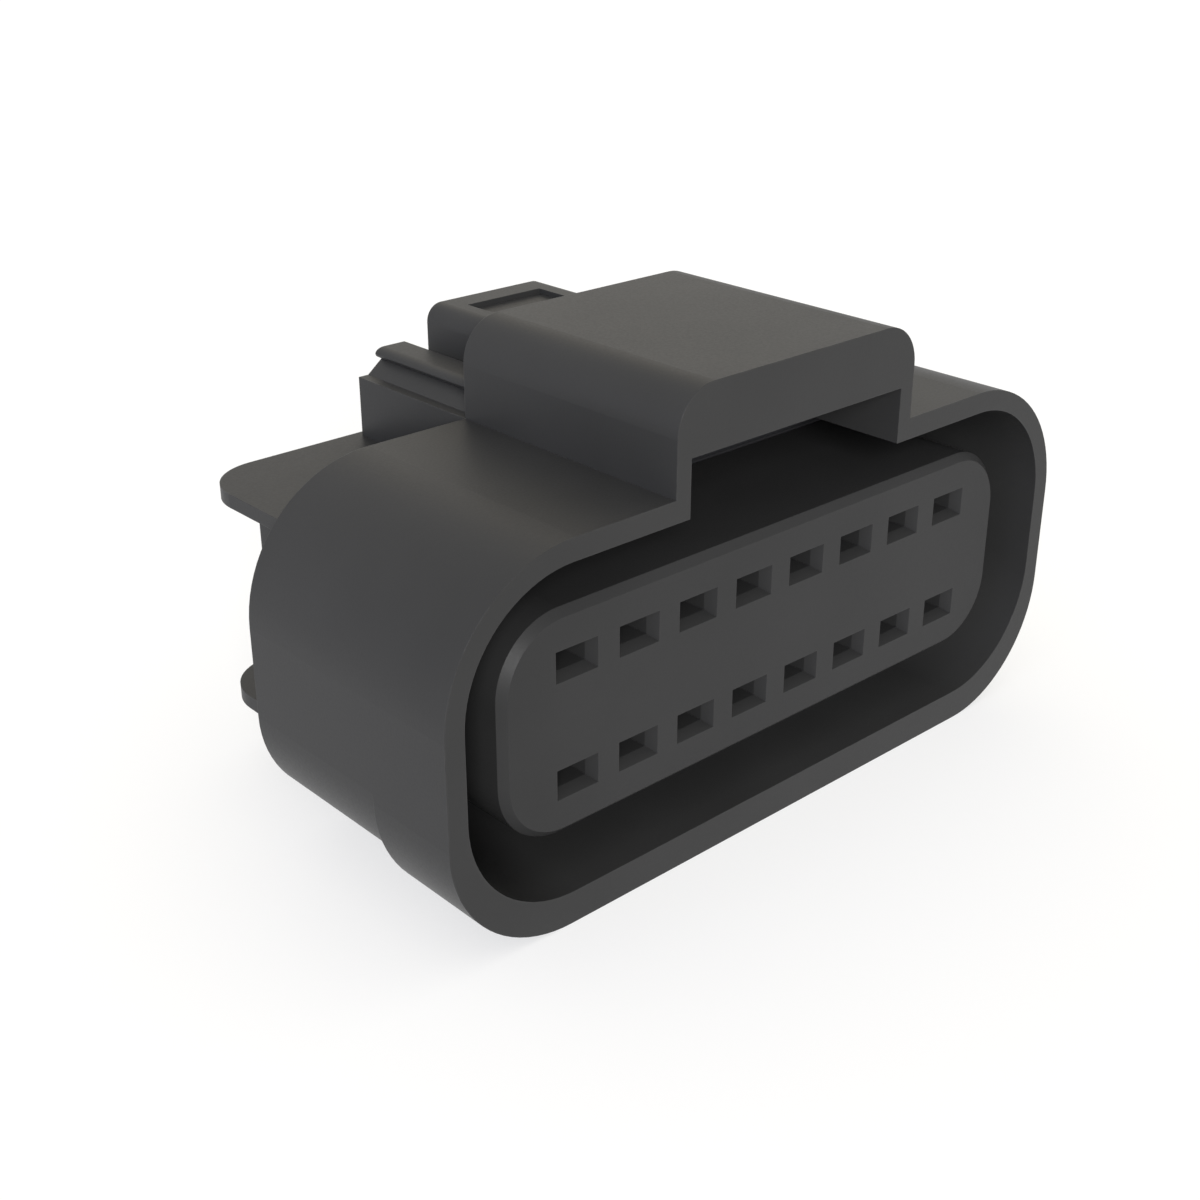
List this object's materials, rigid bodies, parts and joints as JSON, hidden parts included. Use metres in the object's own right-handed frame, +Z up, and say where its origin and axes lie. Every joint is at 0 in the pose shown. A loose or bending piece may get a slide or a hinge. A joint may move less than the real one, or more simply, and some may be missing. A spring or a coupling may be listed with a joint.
{
  "type": "connector housing",
  "caption": "Sealed plug housing for two rows of blade contacts, with an oval shroud, a hooded latch and a sliding front retainer.",
  "frame": {"origin": "bottom centre of the bounding box", "axes": "+X along the rows of slots, -Y out of the mating face, +Y towards the wires, +Z up towards the latch hood"},
  "size_m": [0.0394, 0.0228, 0.0225],
  "materials": {
    "housing_plastic": "matte, fine moulded texture",
    "retainer_plastic": "matte, fine moulded texture",
    "cover_plastic": "matte, fine moulded texture",
    "seal_silicone": "soft, matte"
  },
  "bodies": {
    "shell": {"housing": "housing_plastic", "interface_seal": "seal_silicone", "wire_seal": "seal_silicone", "rear_cover": "cover_plastic"},
    "retainer": {"front_retainer": "retainer_plastic"}
  },
  "joints": [
    {"name": "retainer_slide", "type": "slide", "parent": "shell", "child": "retainer", "axis": [0, -1, 0], "range_m": [0, 0.0012]}
  ]
}
